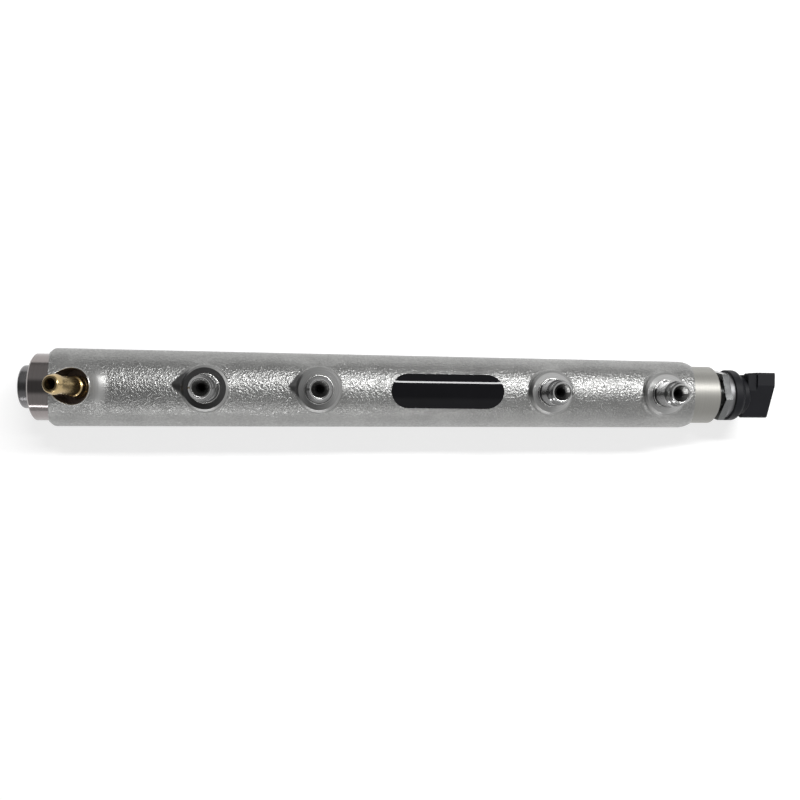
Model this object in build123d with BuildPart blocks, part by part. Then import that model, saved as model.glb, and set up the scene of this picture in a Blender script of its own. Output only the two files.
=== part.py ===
from build123d import *
import math
import os

# Fuel rail: a forged high-pressure fuel accumulator for a diesel engine, with
# four outlet stubs, a relief valve in one end, a pressure sensor in the other
# and a brass return nipple. Sizes are in millimetres.
#
# Frame: +X runs along the rail to the sensor, +Z is the way the stubs point,
# z = 0 is the plane of the two mounting pads, and x = 0 lies midway between
# them. The rail's own axis is parallel to X at the height AXIS_Z.

FIT_GAP = 0.05
SEAT_GAP = 0.02

# Forging, lengths along X and radii about the rail's axis.
NECK_LEFT_LONG = 6.7
NECK_LEFT_R = 17.95
SHOULDER_LEFT_LONG = 3.6
SHOULDER_ROUND = 1.4
BODY_LEFT_R = 20.95
BODY_TAPER = 1.7
SHOULDER_RIGHT_LONG = 7.6
SHOULDER_RIGHT_SLOPE = -1.1
NECK_RIGHT_LONG = 12.4
NECK_RIGHT_R = 16.5
NECK_CHAMFER = 0.8
END_DRAFT = 14.0
MAIN_BORE_R = 5.0

# Outlet stubs: their places along the forging, then each stub from its boss up.
PORT_FROM_VALVE_END = 80.1
PORT_PITCH_FIRST = 59.3
PORT_PITCH_MIDDLE = 126.8
PORT_PITCH_LAST = 65.3
PORT_TO_SENSOR_END = 15.7
BOSS_PROUD = 1.25
BOSS_SUNK = 12.0
BOSS_TOP_R = 12.0
BOSS_DRAFT = 6.0
BOSS_BLEND = 1.5
SPOT_CHAMFER = 1.1
SPOT_CHAMFER_DROP = 0.9
THREAD_R = 6.7
THREAD_TALL = 12.5
COLLAR_STEP = 1.05
COLLAR_TALL = 0.9
NOSE_STEP = 0.7
NOSE_TALL = 4.4
NOSE_CHAMFER = 0.9
SEAT_MOUTH_R = 4.5
SEAT_HALF_ANGLE = 30.0
OUTLET_DRILL_R = 1.5

# Mounting pads with tapped holes, on the side away from the stubs.
PAD_SPACING = 140.0
PAD_PROUD = 3.05
PAD_R = 11.0
PAD_DRAFT = 5.0
PAD_BLEND = 2.0
PAD_HOLE_R = 3.4
PAD_HOLE_DEEP = 14.0
DRILL_POINT_ANGLE = 30.0

# Relief valve in the left end.
VALVE_THREAD_R = 8.0
VALVE_HOLE_DEEP = 33.5
VALVE_HEAD_LONG = 6.8
VALVE_HEAD_R = 11.5
VALVE_HEAD_ROUND = 1.6
VALVE_KEY_FLATS = 10.0
VALVE_KEY_DEEP = 4.5
VALVE_END_WALL = 4.5
VALVE_WAIST_LONG = 15.0
VALVE_DRAIN_GAP = 1.8
VALVE_DRAIN_FROM_SEAT = 5.5
VALVE_DRAIN_R = 1.5
VALVE_SEAT_THICK = 3.0
VALVE_SEAT_BORE_R = 1.5
VALVE_SEAT_CONE = 1.5
VALVE_BORE_R = 4.0
O_RING_FROM_HEAD = 2.5
O_RING_WIRE_R = 0.9
O_RING_GROOVE = 2.3
PISTON_STEM_LONG = 7.5
PISTON_CONE_SHY = 0.3
PISTON_LAND_LONG = 7.0
PISTON_TAIL_LONG = 4.0
PISTON_TAIL_R = 1.7
PISTON_LIFT = 1.2
SHIM_THICK = 1.0
STOP_FLANGE_THICK = 1.2
STOP_PIN_R = 1.6
SPRING_WIRE = 1.0
SPRING_CLEAR = 0.35
SPRING_TURNS = 4

# Return nipple and the pocket it stands in.
POCKET_TILT = 17.5
POCKET_LEAN = 2.6
POCKET_R = 9.65
POCKET_WALL = 4.0
POCKET_CLEAR = 16.0
NIPPLE_PRESS_R = 4.5
NIPPLE_PRESS_LONG = 3.4
NIPPLE_DRAIN_OVERRUN = 2.5
NIPPLE_FLANGE_R = 5.9
NIPPLE_FLANGE_TALL = 2.6
NIPPLE_COLLAR_R = 5.4
NIPPLE_COLLAR_TALL = 3.6
NIPPLE_SHAFT_R = 4.75
NIPPLE_SHAFT_TALL = 14.6
NIPPLE_BARB_STEP = 0.5
NIPPLE_BARB_LAND = 1.5
NIPPLE_BARB_TALL = 4.4
NIPPLE_TIP_WALL = 1.5
NIPPLE_BORE_R = 3.0
NIPPLE_EDGE = 0.5

# Pressure sensor in the right end.
SENSOR_HOLE_DEEP = 14.0
SENSOR_THREAD_R = 9.0
SENSOR_NOSE_R = 7.0
SENSOR_NOSE_LONG = 2.5
SENSOR_CHANNEL_R = 1.5
HEX_GAP = 2.3
HEX_FLATS = 27.0
HEX_THICK = 7.9
HEX_CHAMFER_LONG = 2.6
HEX_CHAMFER_SHY = 0.3
HEX_TURN = 40.0
SPIGOT_CLEAR = 0.7
SPIGOT_LONG = 2.8
SENSOR_SEAL_WIRE_R = 0.75
SENSOR_SEAL_GROOVE = 1.9
CELL_R = 4.5
CELL_TALL = 2.7
CELL_SKIN = 0.8
CARRIER_TALL = 3.1
CARRIER_INNER_R = 6.0
BOARD_CLEAR = 0.4
BOARD_THICK = 1.2

# Connector housing about the rail's axis, its block turned by PLUG_TURN.
HOUSING_R = 14.75
HOUSING_FOOT_LONG = 3.6
HOUSING_SHOULDER_LONG = 3.4
HOUSING_NECK_R = 11.7
HOUSING_NECK_LONG = 2.2
HOUSING_CAVITY_R = 11.2
HOUSING_CAVITY_SPARE = 0.2
BLOCK_LONG = 15.5
BLOCK_WIDE = 22.9
BLOCK_TALL = 16.6
BLOCK_ROUND = 2.2
BLOCK_WALL = 1.6
BLOCK_ROOT = 2.0
SOCKET_DEEP = 13.1
PLUG_TURN = 24.0
LATCH_LONG = 10.4
LATCH_WIDE = 7.5
LATCH_PROUD = 1.2
LATCH_ROUND = 1.0
TERMINAL_PITCH = 5.0
TERMINAL_WIDE = 2.4
TERMINAL_THICK = 0.8
TERMINAL_POINT = 0.2
TERMINAL_SHY = 5.6

# Type label, a thin film on the forging.
LABEL_OFFSET = 6.2
LABEL_LONG = 61.8
LABEL_WIDE = 18.7
LABEL_THICK = 0.15
LABEL_ADHESIVE = 0.15

# Stations and sizes that follow from those above.
BODY_LONG = (
    PORT_FROM_VALVE_END
    + PORT_PITCH_FIRST
    + PORT_PITCH_MIDDLE
    + PORT_PITCH_LAST
    + PORT_TO_SENSOR_END
)
BODY_RIGHT_R = BODY_LEFT_R - BODY_TAPER
BODY_LEFT_X = -BODY_LONG / 2
BODY_RIGHT_X = BODY_LONG / 2
SHOULDER_LEFT_X = BODY_LEFT_X - SHOULDER_LEFT_LONG
NECK_LEFT_X = SHOULDER_LEFT_X - NECK_LEFT_LONG
SHOULDER_RIGHT_X = BODY_RIGHT_X + SHOULDER_RIGHT_LONG
NECK_RIGHT_X = SHOULDER_RIGHT_X + NECK_RIGHT_LONG
BODY_SLOPE = -BODY_TAPER / BODY_LONG
END_SHOULDERS = ((SHOULDER_LEFT_X, 1, NECK_LEFT_R), (SHOULDER_RIGHT_X, -1, NECK_RIGHT_R))
AXIS_Z = BODY_LEFT_R + PAD_PROUD
RAIL_AXIS = Axis((0, 0, AXIS_Z), (1, 0, 0))
LENGTHWISE = Plane(origin=(0, 0, AXIS_Z), x_dir=(1, 0, 0), z_dir=(0, 0, 1))

PORT_1_X = BODY_LEFT_X + PORT_FROM_VALVE_END
PORT_2_X = PORT_1_X + PORT_PITCH_FIRST
PORT_3_X = PORT_2_X + PORT_PITCH_MIDDLE
PORT_4_X = PORT_3_X + PORT_PITCH_LAST
PORT_STATIONS = (PORT_1_X, PORT_2_X, PORT_3_X, PORT_4_X)
PAD_STATIONS = (-PAD_SPACING / 2, PAD_SPACING / 2)
BOSS_TOP_Z = BODY_LEFT_R + BOSS_PROUD
BOSS_FOOT_Z = BOSS_TOP_Z - BOSS_SUNK
COLLAR_R = THREAD_R + COLLAR_STEP
NOSE_R = THREAD_R - NOSE_STEP
THREAD_TOP_Z = BOSS_TOP_Z + THREAD_TALL
NOSE_FOOT_Z = THREAD_TOP_Z + NOSE_STEP
STUB_TOP_Z = NOSE_FOOT_Z + NOSE_TALL
SEAT_DEEP = (SEAT_MOUTH_R - OUTLET_DRILL_R) / math.tan(math.radians(SEAT_HALF_ANGLE))

VALVE_HEAD_X = NECK_LEFT_X - VALVE_HEAD_LONG
VALVE_STEP_X = NECK_LEFT_X + VALVE_HOLE_DEEP
VALVE_SEAT_X = VALVE_STEP_X - VALVE_SEAT_THICK
VALVE_WAIST_X = VALVE_SEAT_X - VALVE_WAIST_LONG
VALVE_WAIST_R = VALVE_THREAD_R - VALVE_DRAIN_GAP
VALVE_DRAIN_X = VALVE_SEAT_X - VALVE_DRAIN_FROM_SEAT
VALVE_BORE_END_X = NECK_LEFT_X + VALVE_END_WALL
O_RING_X = NECK_LEFT_X + O_RING_FROM_HEAD
O_RING_SEAT_R = VALVE_THREAD_R - 2 * O_RING_WIRE_R
PISTON_STEM_R = VALVE_SEAT_BORE_R + VALVE_SEAT_CONE - PISTON_CONE_SHY
PISTON_TIP_R = VALVE_SEAT_BORE_R - PISTON_CONE_SHY
PISTON_LAND_X = VALVE_SEAT_X - PISTON_STEM_LONG
PISTON_LAND_END_X = PISTON_LAND_X - PISTON_LAND_LONG
PISTON_TAIL_END_X = PISTON_LAND_END_X - PISTON_TAIL_LONG
STOP_FACE_X = VALVE_BORE_END_X + SHIM_THICK + STOP_FLANGE_THICK
SPRING_COIL_R = VALVE_BORE_R - SPRING_CLEAR - SPRING_WIRE / 2

POCKET_FLOOR_Z = VALVE_THREAD_R + POCKET_WALL
TILT = math.radians(POCKET_TILT)
LEAN = math.radians(POCKET_LEAN)
POCKET_FLOOR = Plane(
    origin=(VALVE_DRAIN_X, 0, AXIS_Z + POCKET_FLOOR_Z),
    x_dir=(math.cos(TILT), 0, math.sin(TILT)),
    z_dir=(-math.sin(TILT) * math.cos(LEAN), math.sin(LEAN), math.cos(TILT) * math.cos(LEAN)),
)
NIPPLE_PROFILE = Plane(
    origin=POCKET_FLOOR.origin,
    x_dir=POCKET_FLOOR.x_dir,
    z_dir=-POCKET_FLOOR.y_dir,
)
NIPPLE_AXIS = Axis(POCKET_FLOOR.origin, POCKET_FLOOR.z_dir)

SENSOR_SEAT_X = NECK_RIGHT_X - SENSOR_HOLE_DEEP
HEX_X = NECK_RIGHT_X + HEX_GAP
HEX_END_X = HEX_X + HEX_THICK
HEX_CORNER_R = HEX_FLATS / math.sqrt(3)
SPIGOT_R = HOUSING_CAVITY_R - SPIGOT_CLEAR
SPIGOT_END_X = HEX_END_X + SPIGOT_LONG
SENSOR_SEAL_X = HEX_END_X + SPIGOT_LONG / 2
SENSOR_SEAL_SEAT_R = HOUSING_CAVITY_R - 2 * SENSOR_SEAL_WIRE_R
BOARD_R = HOUSING_CAVITY_R - BOARD_CLEAR
BOARD_X = SPIGOT_END_X + CARRIER_TALL
BOARD_END_X = BOARD_X + BOARD_THICK
HOUSING_CAVITY_X = BOARD_END_X + HOUSING_CAVITY_SPARE
HOUSING_SHOULDER_X = HEX_END_X + HOUSING_FOOT_LONG
HOUSING_NECK_X = HOUSING_SHOULDER_X + HOUSING_SHOULDER_LONG
BLOCK_X = HOUSING_NECK_X + HOUSING_NECK_LONG
BLOCK_END_X = BLOCK_X + BLOCK_LONG
SOCKET_FLOOR_X = BLOCK_END_X - SOCKET_DEEP
LATCH_X = BLOCK_END_X - LATCH_LONG
TERMINAL_END_X = BLOCK_END_X - TERMINAL_SHY
TURN = math.radians(PLUG_TURN)
PLUG_ACROSS = (0, math.cos(TURN), math.sin(TURN))
BLOCK_CORE_HALF = BLOCK_WIDE / 2 - BLOCK_ROUND
BLOCK_CORE_UP = BLOCK_TALL / 2 - BLOCK_ROUND
BLOCK_CREST = BLOCK_CORE_HALF * math.sin(TURN) + BLOCK_CORE_UP * math.cos(TURN) + BLOCK_ROUND
BLOCK_FLANK = BLOCK_CORE_HALF * math.cos(TURN) + BLOCK_CORE_UP * math.sin(TURN) + BLOCK_ROUND

LABEL_MID_X = (PORT_2_X + PORT_3_X) / 2 + LABEL_OFFSET
LABEL_START_X = LABEL_MID_X - LABEL_LONG / 2
LABEL_END_X = LABEL_MID_X + LABEL_LONG / 2


def across(x):
    """Plane square to the rail's axis at station x, its own x along +Y."""
    return Plane(origin=(x, 0, AXIS_Z), x_dir=(0, 1, 0), z_dir=(1, 0, 0))


def plug_plane(x):
    """Plane square to the rail's axis, turned with the connector block."""
    return Plane(origin=(x, 0, AXIS_Z), x_dir=PLUG_ACROSS, z_dir=(1, 0, 0))


def body_radius(x):
    """Radius of the forging's tapered body at station x."""
    return BODY_LEFT_R + BODY_SLOPE * (x - BODY_LEFT_X)


# Forged and machined rail, in one piece with its stubs and pads.
with BuildPart() as rail_body:
    with BuildSketch(LENGTHWISE):
        with BuildLine():
            Polyline(
                (NECK_LEFT_X, 0),
                (NECK_LEFT_X, NECK_LEFT_R - NECK_CHAMFER),
                (NECK_LEFT_X + NECK_CHAMFER, NECK_LEFT_R),
                (SHOULDER_LEFT_X, NECK_LEFT_R),
                (BODY_LEFT_X, BODY_LEFT_R),
                (BODY_RIGHT_X, BODY_RIGHT_R),
            )
            Spline(
                (BODY_RIGHT_X, BODY_RIGHT_R),
                (SHOULDER_RIGHT_X, NECK_RIGHT_R),
                tangents=[(1, BODY_SLOPE), (1, SHOULDER_RIGHT_SLOPE)],
            )
            Polyline(
                (SHOULDER_RIGHT_X, NECK_RIGHT_R),
                (NECK_RIGHT_X - NECK_CHAMFER, NECK_RIGHT_R),
                (NECK_RIGHT_X, NECK_RIGHT_R - NECK_CHAMFER),
                (NECK_RIGHT_X, 0),
                (NECK_LEFT_X, 0),
            )
        make_face()
    revolve(axis=RAIL_AXIS)

    # Rounded edge where the left shoulder meets the body.
    body_rims = rail_body.edges().filter_by(GeomType.CIRCLE)
    body_rims = body_rims.filter_by(lambda e: abs(e.center().X - BODY_LEFT_X) < SEAT_GAP)
    fillet(body_rims, radius=SHOULDER_ROUND)

    # Bosses under the stubs, drawn from the spot face down with draft.
    for station in PORT_STATIONS:
        with BuildSketch(Plane(origin=(station, 0, AXIS_Z + BOSS_TOP_Z), z_dir=(0, 0, -1))):
            Circle(BOSS_TOP_R)
        extrude(amount=BOSS_SUNK, taper=-BOSS_DRAFT)

    # Mounting pads, down to z = 0.
    for station in PAD_STATIONS:
        with BuildSketch(Plane(origin=(station, 0, 0))):
            Circle(PAD_R)
        extrude(amount=AXIS_Z - MAIN_BORE_R, taper=-PAD_DRAFT)

    # Forged blends where the pads and the bosses meet the body.
    meeting_lines = rail_body.edges().filter_by(GeomType.BSPLINE)
    pad_wall = AXIS_Z - body_radius(PAD_STATIONS[0])
    fillet(meeting_lines.filter_by(lambda e: e.center().Z < AXIS_Z), radius=min(PAD_BLEND, pad_wall))
    meeting_lines = rail_body.edges().filter_by(GeomType.BSPLINE)
    boss_lines = meeting_lines.filter_by(lambda e: e.center().Z > AXIS_Z)
    boss_wall = BOSS_TOP_Z - body_radius(PORT_1_X)
    fillet(boss_lines, radius=min(BOSS_BLEND, boss_wall))

    # Chamfer round each spot face, down the boss.
    spot_faces = rail_body.faces().filter_by(GeomType.PLANE)
    spot_faces = spot_faces.filter_by(lambda f: abs(f.center().Z - AXIS_Z - BOSS_TOP_Z) < SEAT_GAP)
    for spot_face in spot_faces:
        chamfer(spot_face.edges(), length=SPOT_CHAMFER, length2=SPOT_CHAMFER_DROP, reference=spot_face)

    # Stubs: collar, thread and nose.
    for station in PORT_STATIONS:
        port = Plane(origin=(station, 0, AXIS_Z), x_dir=(1, 0, 0), z_dir=(0, -1, 0))
        with BuildSketch(port):
            Polygon(
                (0, BOSS_FOOT_Z),
                (COLLAR_R, BOSS_FOOT_Z),
                (COLLAR_R, BOSS_TOP_Z + COLLAR_TALL),
                (THREAD_R, BOSS_TOP_Z + COLLAR_TALL),
                (THREAD_R, THREAD_TOP_Z),
                (NOSE_R, NOSE_FOOT_Z),
                (NOSE_R, STUB_TOP_Z - NOSE_CHAMFER),
                (NOSE_R - NOSE_CHAMFER, STUB_TOP_Z),
                (0, STUB_TOP_Z),
                align=None,
            )
        revolve(axis=Axis((station, 0, AXIS_Z), (0, 0, 1)))

    # Sealing cone and outlet drilling in each stub.
    for station in PORT_STATIONS:
        port = Plane(origin=(station, 0, AXIS_Z), x_dir=(1, 0, 0), z_dir=(0, -1, 0))
        with BuildSketch(port):
            Polygon(
                (0, 0),
                (OUTLET_DRILL_R, 0),
                (OUTLET_DRILL_R, STUB_TOP_Z - SEAT_DEEP),
                (SEAT_MOUTH_R, STUB_TOP_Z),
                (0, STUB_TOP_Z),
                align=None,
            )
        revolve(axis=Axis((station, 0, AXIS_Z), (0, 0, 1)), mode=Mode.SUBTRACT)

    # Drafted ends of the forging: above and below the parting plane the necks run further in.
    draft_run = math.tan(math.radians(END_DRAFT)) * BODY_LEFT_R
    for shoulder_x, inward, neck_r in END_SHOULDERS:
        with BuildPart(mode=Mode.PRIVATE) as end_wedge:
            with BuildSketch(Plane(origin=(0, 0, AXIS_Z), x_dir=(1, 0, 0), z_dir=(0, -1, 0))):
                Polygon(
                    (shoulder_x, 0),
                    (shoulder_x + inward * draft_run, BODY_LEFT_R),
                    (shoulder_x, BODY_LEFT_R),
                    align=None,
                )
                mirror(about=Plane.XZ)
            extrude(amount=BODY_LEFT_R, both=True)
            with BuildSketch(across(shoulder_x - draft_run)):
                Circle(neck_r)
            extrude(amount=2 * draft_run, mode=Mode.SUBTRACT)
        add(end_wedge.part, mode=Mode.SUBTRACT)

    # Main bore with the valve's and the sensor's threaded holes.
    with BuildSketch(LENGTHWISE):
        Polygon(
            (NECK_LEFT_X, 0),
            (NECK_LEFT_X, VALVE_THREAD_R),
            (VALVE_STEP_X, VALVE_THREAD_R),
            (VALVE_STEP_X, MAIN_BORE_R),
            (SENSOR_SEAT_X, MAIN_BORE_R),
            (SENSOR_SEAT_X, SENSOR_THREAD_R),
            (NECK_RIGHT_X - NECK_CHAMFER, SENSOR_THREAD_R),
            (NECK_RIGHT_X, SENSOR_THREAD_R + NECK_CHAMFER),
            (NECK_RIGHT_X, 0),
            align=None,
        )
    revolve(axis=RAIL_AXIS, mode=Mode.SUBTRACT)

    # Pocket for the return nipple, and its press bore into the valve's hole.
    with BuildSketch(POCKET_FLOOR):
        Circle(POCKET_R)
    extrude(amount=POCKET_CLEAR, mode=Mode.SUBTRACT)
    with BuildSketch(POCKET_FLOOR):
        Circle(NIPPLE_PRESS_R)
    extrude(amount=-(POCKET_WALL + NIPPLE_DRAIN_OVERRUN), mode=Mode.SUBTRACT)

    # Tapped holes in the pads.
    for station in PAD_STATIONS:
        with BuildSketch(Plane(origin=(station, 0, 0), x_dir=(1, 0, 0), z_dir=(0, -1, 0))):
            Polygon(
                (0, 0),
                (PAD_HOLE_R, 0),
                (PAD_HOLE_R, PAD_HOLE_DEEP),
                (0, PAD_HOLE_DEEP + PAD_HOLE_R * math.tan(math.radians(DRILL_POINT_ANGLE))),
                align=None,
            )
        revolve(axis=Axis((station, 0, 0), (0, 0, 1)), mode=Mode.SUBTRACT)

# Type label, bare, lying on the forging between the two middle stubs.
with BuildPart() as type_label:
    start_r = body_radius(LABEL_START_X) + LABEL_ADHESIVE
    end_r = body_radius(LABEL_END_X) + LABEL_ADHESIVE
    with BuildSketch(LENGTHWISE):
        Polygon(
            (LABEL_START_X, start_r),
            (LABEL_END_X, end_r),
            (LABEL_END_X, end_r + LABEL_THICK),
            (LABEL_START_X, start_r + LABEL_THICK),
            align=None,
        )
    revolve(axis=RAIL_AXIS)
    with BuildSketch(Plane(origin=(LABEL_MID_X, 0, AXIS_Z))):
        SlotOverall(LABEL_LONG, LABEL_WIDE)
    extrude(amount=BODY_LEFT_R + LABEL_ADHESIVE + LABEL_THICK, mode=Mode.INTERSECT)

# Brass return nipple with a hose barb, pressed into the pocket's floor.
with BuildPart() as return_nipple:
    collar_top = NIPPLE_FLANGE_TALL + NIPPLE_COLLAR_TALL
    barb_foot = collar_top + NIPPLE_SHAFT_TALL
    nipple_top = barb_foot + NIPPLE_BARB_TALL
    barb_r = NIPPLE_SHAFT_R + NIPPLE_BARB_STEP
    tip_r = NIPPLE_BORE_R + NIPPLE_TIP_WALL
    with BuildSketch(NIPPLE_PROFILE):
        Polygon(
            (NIPPLE_BORE_R, -NIPPLE_PRESS_LONG),
            (NIPPLE_PRESS_R - FIT_GAP, -NIPPLE_PRESS_LONG),
            (NIPPLE_PRESS_R - FIT_GAP, 0),
            (NIPPLE_FLANGE_R, 0),
            (NIPPLE_FLANGE_R, NIPPLE_FLANGE_TALL - NIPPLE_EDGE),
            (NIPPLE_FLANGE_R - NIPPLE_EDGE, NIPPLE_FLANGE_TALL),
            (NIPPLE_COLLAR_R, NIPPLE_FLANGE_TALL),
            (NIPPLE_COLLAR_R, collar_top - NIPPLE_EDGE),
            (NIPPLE_COLLAR_R - NIPPLE_EDGE, collar_top),
            (NIPPLE_SHAFT_R, collar_top),
            (NIPPLE_SHAFT_R, barb_foot),
            (barb_r, barb_foot),
            (barb_r, barb_foot + NIPPLE_BARB_LAND),
            (tip_r, nipple_top - NIPPLE_EDGE),
            (tip_r - NIPPLE_EDGE, nipple_top),
            (NIPPLE_BORE_R, nipple_top),
            align=None,
        )
    revolve(axis=NIPPLE_AXIS)

# Relief valve: threaded body with the head that shows.
with BuildPart() as valve_body:
    with BuildSketch(LENGTHWISE):
        Polygon(
            (VALVE_HEAD_X, 0),
            (VALVE_HEAD_X, VALVE_HEAD_R),
            (NECK_LEFT_X, VALVE_HEAD_R),
            (NECK_LEFT_X, VALVE_THREAD_R - FIT_GAP),
            (O_RING_X - O_RING_GROOVE / 2, VALVE_THREAD_R - FIT_GAP),
            (O_RING_X - O_RING_GROOVE / 2, O_RING_SEAT_R),
            (O_RING_X + O_RING_GROOVE / 2, O_RING_SEAT_R),
            (O_RING_X + O_RING_GROOVE / 2, VALVE_THREAD_R - FIT_GAP),
            (VALVE_WAIST_X, VALVE_THREAD_R - FIT_GAP),
            (VALVE_WAIST_X, VALVE_WAIST_R),
            (VALVE_SEAT_X, VALVE_WAIST_R),
            (VALVE_SEAT_X, VALVE_BORE_R),
            (VALVE_BORE_END_X, VALVE_BORE_R),
            (VALVE_BORE_END_X, 0),
            align=None,
        )
    revolve(axis=RAIL_AXIS)
    head_rim = valve_body.edges().filter_by(GeomType.CIRCLE)
    head_rim = head_rim.filter_by(lambda e: abs(e.center().X - VALVE_HEAD_X) < SEAT_GAP)
    fillet(head_rim, radius=VALVE_HEAD_ROUND)
    with BuildSketch(across(VALVE_HEAD_X)):
        RegularPolygon(radius=VALVE_KEY_FLATS / 2, side_count=6, major_radius=False)
    extrude(amount=VALVE_KEY_DEEP, mode=Mode.SUBTRACT)
    with BuildSketch(Plane(origin=(VALVE_DRAIN_X, 0, AXIS_Z))):
        Circle(VALVE_DRAIN_R)
    extrude(amount=VALVE_THREAD_R, both=True, mode=Mode.SUBTRACT)
    with BuildSketch(Plane(origin=(VALVE_DRAIN_X, 0, AXIS_Z), x_dir=(1, 0, 0), z_dir=(0, 1, 0))):
        Circle(VALVE_DRAIN_R)
    extrude(amount=VALVE_THREAD_R, both=True, mode=Mode.SUBTRACT)

# Hardened seat, clamped between the valve body and the step in the rail.
with BuildPart() as valve_seat:
    with BuildSketch(LENGTHWISE):
        Polygon(
            (VALVE_STEP_X, VALVE_SEAT_BORE_R),
            (VALVE_STEP_X, VALVE_THREAD_R - FIT_GAP),
            (VALVE_SEAT_X, VALVE_THREAD_R - FIT_GAP),
            (VALVE_SEAT_X, VALVE_SEAT_BORE_R + VALVE_SEAT_CONE),
            (VALVE_SEAT_X + VALVE_SEAT_CONE, VALVE_SEAT_BORE_R),
            align=None,
        )
    revolve(axis=RAIL_AXIS)

# Piston with the sealing cone, closed on the seat at rest.
with BuildPart() as valve_piston:
    cone_foot_x = VALVE_SEAT_X - SEAT_GAP + VALVE_SEAT_CONE + VALVE_SEAT_BORE_R
    with BuildSketch(LENGTHWISE):
        Polygon(
            (PISTON_TAIL_END_X, 0),
            (PISTON_TAIL_END_X, PISTON_TAIL_R),
            (PISTON_LAND_END_X, PISTON_TAIL_R),
            (PISTON_LAND_END_X, VALVE_BORE_R - FIT_GAP),
            (PISTON_LAND_X, VALVE_BORE_R - FIT_GAP),
            (PISTON_LAND_X, PISTON_STEM_R),
            (cone_foot_x - PISTON_STEM_R, PISTON_STEM_R),
            (cone_foot_x - PISTON_TIP_R, PISTON_TIP_R),
            (cone_foot_x - PISTON_TIP_R, 0),
            align=None,
        )
    revolve(axis=RAIL_AXIS)

# Lift stop, the spring's other seat, with the pin that ends the piston's lift.
with BuildPart() as lift_stop:
    stop_foot_x = VALVE_BORE_END_X + SHIM_THICK
    stop_pin_x = PISTON_TAIL_END_X - PISTON_LIFT - SEAT_GAP
    with BuildSketch(LENGTHWISE):
        Polygon(
            (stop_foot_x, 0),
            (stop_foot_x, VALVE_BORE_R - FIT_GAP),
            (STOP_FACE_X, VALVE_BORE_R - FIT_GAP),
            (STOP_FACE_X, STOP_PIN_R),
            (stop_pin_x, STOP_PIN_R),
            (stop_pin_x, 0),
            align=None,
        )
    revolve(axis=RAIL_AXIS)

# Shim that sets the spring's load.
with BuildPart() as valve_shim:
    with BuildSketch(across(VALVE_BORE_END_X)):
        Circle(VALVE_BORE_R - FIT_GAP)
    extrude(amount=SHIM_THICK)

# Coil spring of flat wire between the lift stop and the piston's land.
with BuildPart() as valve_spring:
    spring_start_x = STOP_FACE_X + SPRING_WIRE / 2 + SEAT_GAP
    spring_end_x = PISTON_LAND_END_X - SPRING_WIRE / 2 - SEAT_GAP
    spring_long = spring_end_x - spring_start_x
    with BuildLine() as coil:
        Helix(
            pitch=spring_long / SPRING_TURNS,
            height=spring_long,
            radius=SPRING_COIL_R,
            center=(spring_start_x, 0, AXIS_Z),
            direction=(1, 0, 0),
        )
    coil_start = coil.line @ 0
    wire_section = Plane(origin=coil_start, x_dir=(1, 0, 0), z_dir=coil.line % 0)
    with BuildSketch(wire_section):
        Rectangle(SPRING_WIRE, SPRING_WIRE)
    sweep(path=coil.line, is_frenet=True)

# Sealing ring under the valve's head.
with BuildPart() as valve_o_ring:
    with BuildSketch(LENGTHWISE):
        with Locations((O_RING_X, VALVE_THREAD_R - O_RING_WIRE_R)):
            Circle(O_RING_WIRE_R - SEAT_GAP)
    revolve(axis=RAIL_AXIS)

# Pressure sensor: threaded steel body with its hexagon.
with BuildPart() as sensor_body:
    with BuildSketch(across(HEX_X)):
        RegularPolygon(radius=HEX_FLATS / 2, side_count=6, major_radius=False, rotation=HEX_TURN)
    extrude(amount=HEX_THICK)
    with BuildSketch(LENGTHWISE):
        Polygon(
            (HEX_X, 0),
            (HEX_X, HEX_CORNER_R - NECK_CHAMFER),
            (HEX_X + NECK_CHAMFER, HEX_CORNER_R),
            (HEX_END_X - HEX_CHAMFER_LONG, HEX_CORNER_R),
            (HEX_END_X, HEX_FLATS / 2 - HEX_CHAMFER_SHY),
            (HEX_END_X, 0),
            align=None,
        )
    revolve(axis=RAIL_AXIS, mode=Mode.INTERSECT)
    with BuildSketch(LENGTHWISE):
        Polygon(
            (SENSOR_SEAT_X, 0),
            (SENSOR_SEAT_X, SENSOR_NOSE_R),
            (SENSOR_SEAT_X + SENSOR_NOSE_LONG, SENSOR_NOSE_R),
            (SENSOR_SEAT_X + SENSOR_NOSE_LONG, SENSOR_THREAD_R - FIT_GAP),
            (HEX_X, SENSOR_THREAD_R - FIT_GAP),
            (HEX_END_X, SENSOR_THREAD_R - FIT_GAP),
            (HEX_END_X, SPIGOT_R),
            (SENSOR_SEAL_X - SENSOR_SEAL_GROOVE / 2, SPIGOT_R),
            (SENSOR_SEAL_X - SENSOR_SEAL_GROOVE / 2, SENSOR_SEAL_SEAT_R),
            (SENSOR_SEAL_X + SENSOR_SEAL_GROOVE / 2, SENSOR_SEAL_SEAT_R),
            (SENSOR_SEAL_X + SENSOR_SEAL_GROOVE / 2, SPIGOT_R),
            (SPIGOT_END_X, SPIGOT_R),
            (SPIGOT_END_X, 0),
            align=None,
        )
    revolve(axis=RAIL_AXIS)
    with BuildSketch(across(SENSOR_SEAT_X)):
        Circle(SENSOR_CHANNEL_R)
    extrude(amount=SPIGOT_END_X - SENSOR_SEAT_X, mode=Mode.SUBTRACT)

# Measuring cell, a steel cap whose end is the diaphragm.
with BuildPart() as measuring_cell:
    with BuildSketch(across(SPIGOT_END_X)):
        Circle(CELL_R)
    extrude(amount=CELL_TALL)
    with BuildSketch(across(SPIGOT_END_X)):
        Circle(SENSOR_CHANNEL_R)
    extrude(amount=CELL_TALL - CELL_SKIN, mode=Mode.SUBTRACT)

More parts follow.
